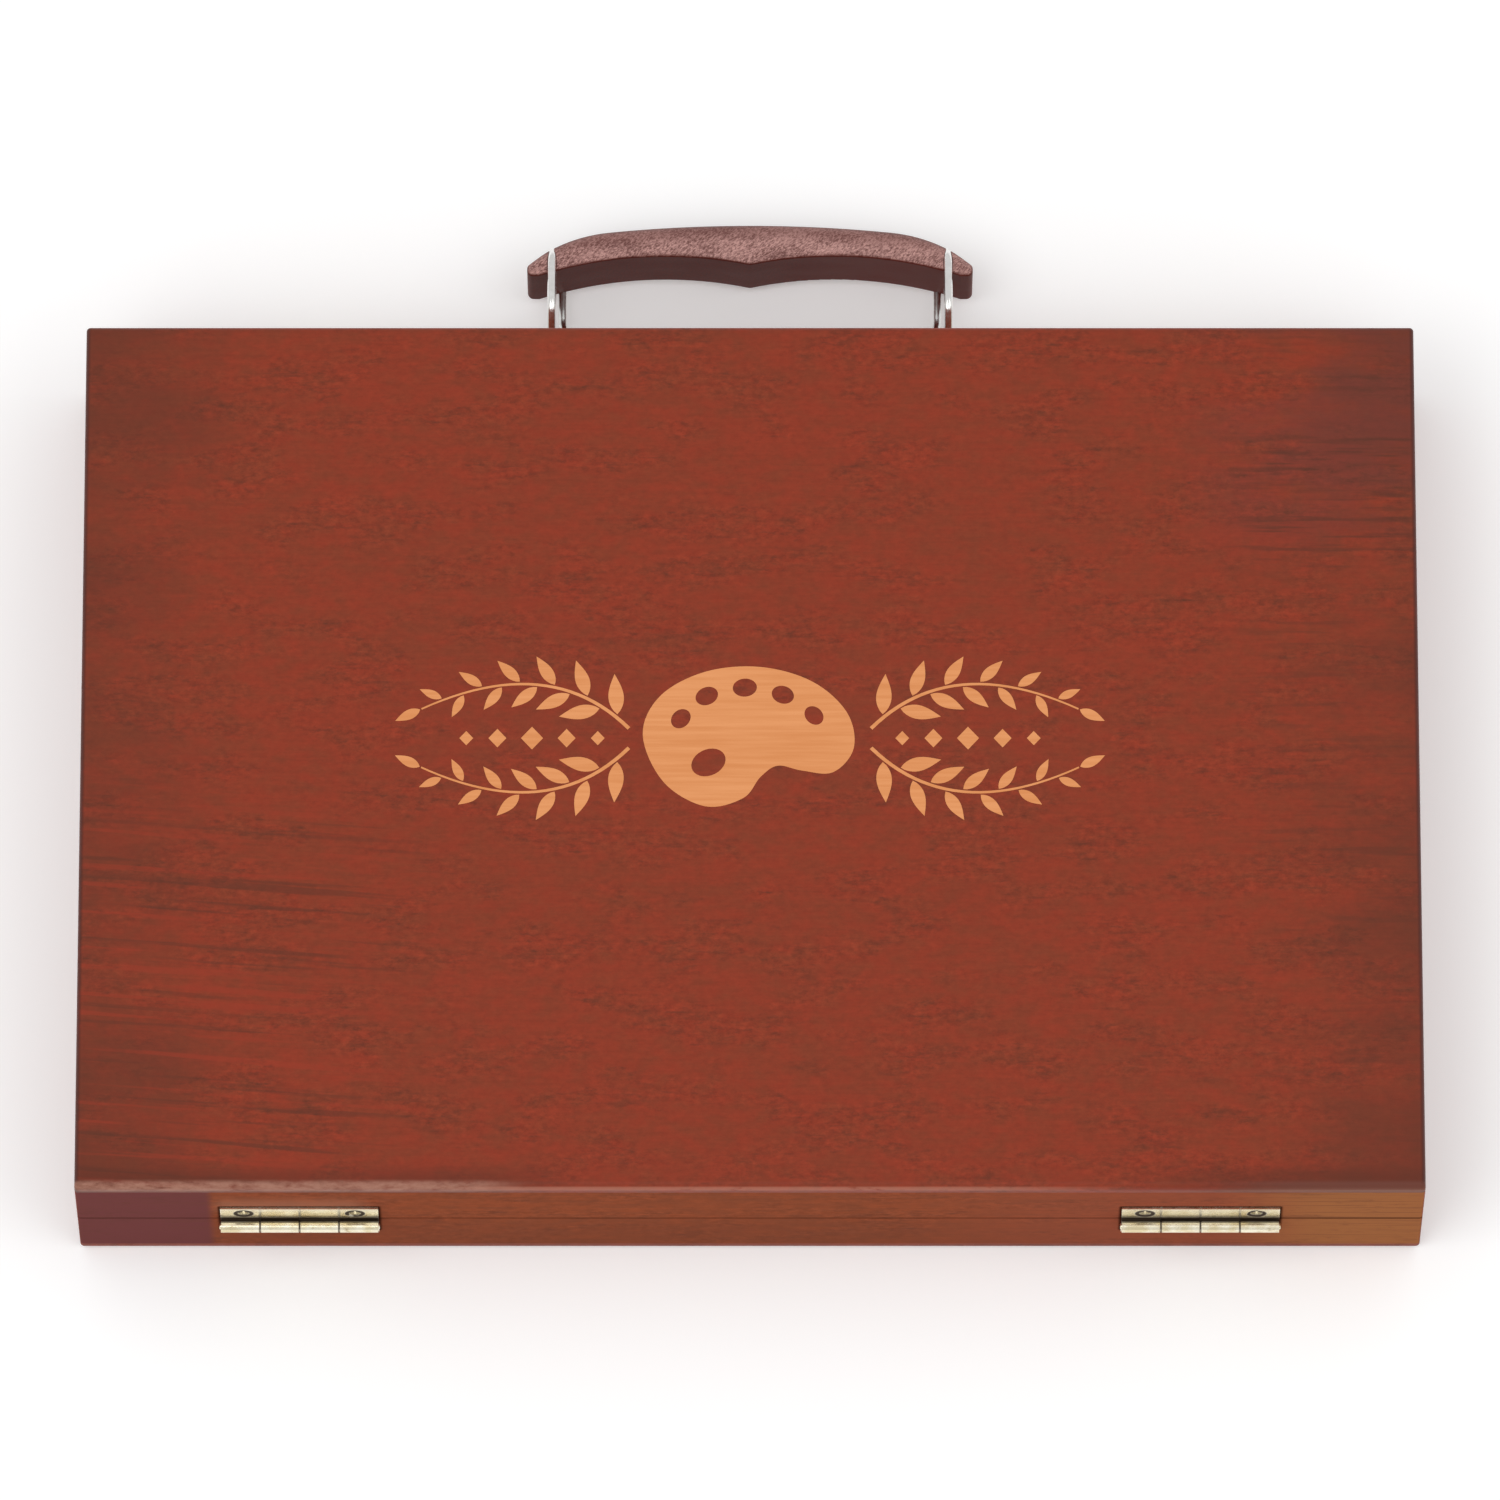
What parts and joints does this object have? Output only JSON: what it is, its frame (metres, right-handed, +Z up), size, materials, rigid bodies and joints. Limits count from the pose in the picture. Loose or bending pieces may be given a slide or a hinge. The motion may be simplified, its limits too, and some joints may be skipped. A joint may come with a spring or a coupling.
{
  "type": "wooden art set case",
  "caption": "Flat wooden case with a hinged lid, moulded trays inside, swing hooks and an arched handle on wire bails.",
  "frame": {"origin": "centre of the case's bottom face, on the surface it lies on", "axes": "+X along the width to the right, +Y from the hinge side to the handle side, +Z up"},
  "size_m": [0.387, 0.3153, 0.053],
  "materials": {
    "stained_wood": "satin red-brown stain",
    "handle_wood": "satin dark brown stain",
    "brass": "polished plating",
    "wire_steel": "bright plating",
    "tray_plastic": "fine matt"
  },
  "bodies": {
    "base": {"base_front_wall": "stained_wood", "base_hinge_wall": "stained_wood", "base_left_wall": "stained_wood", "base_right_wall": "stained_wood", "base_panel": "stained_wood", "base_tray": "tray_plastic", "hinge_base_screws": "brass", "handle_plate_screws": "wire_steel", "hook_plate_screws": "brass", "left_hinge_base_leaf": "brass", "left_hinge_pin": "brass", "left_handle_plate": "wire_steel", "left_hook_plate": "brass", "left_hook_rivet": "brass", "right_hinge_base_leaf": "brass", "right_hinge_pin": "brass", "right_handle_plate": "wire_steel", "right_hook_plate": "brass", "right_hook_rivet": "brass"},
    "lid": {"lid_front_wall": "stained_wood", "lid_hinge_wall": "stained_wood", "lid_left_wall": "stained_wood", "lid_right_wall": "stained_wood", "lid_panel": "stained_wood", "lid_tray": "tray_plastic", "hinge_lid_screws": "brass", "catch_plate_screws": "brass", "left_hinge_lid_leaf": "brass", "left_catch_plate": "brass", "left_catch_post": "brass", "right_hinge_lid_leaf": "brass", "right_catch_plate": "brass", "right_catch_post": "brass"},
    "handle": {"handle_grip": "handle_wood", "left_bail": "wire_steel", "right_bail": "wire_steel"},
    "left_hook": {"left_hook": "brass"},
    "right_hook": {"right_hook": "brass"}
  },
  "joints": [
    {"name": "lid_hinge", "type": "hinge", "parent": "base", "child": "lid", "pos_m": [0, -0.1355, 0.0265], "axis": [1, 0, 0], "range_deg": [0, 180]},
    {"name": "handle_swing", "type": "hinge", "parent": "base", "child": "handle", "pos_m": [0, 0.1366, 0.01325], "axis": [1, 0, 0], "range_deg": [-4, 60]},
    {"name": "left_hook_swing", "type": "hinge", "parent": "base", "child": "left_hook", "pos_m": [-0.118, 0.13415, 0.01325], "axis": [0, 1, 0], "range_deg": [0, 90]},
    {"name": "right_hook_swing", "type": "hinge", "parent": "base", "child": "right_hook", "pos_m": [0.118, 0.13415, 0.01325], "axis": [0, -1, 0], "range_deg": [0, 90]}
  ]
}
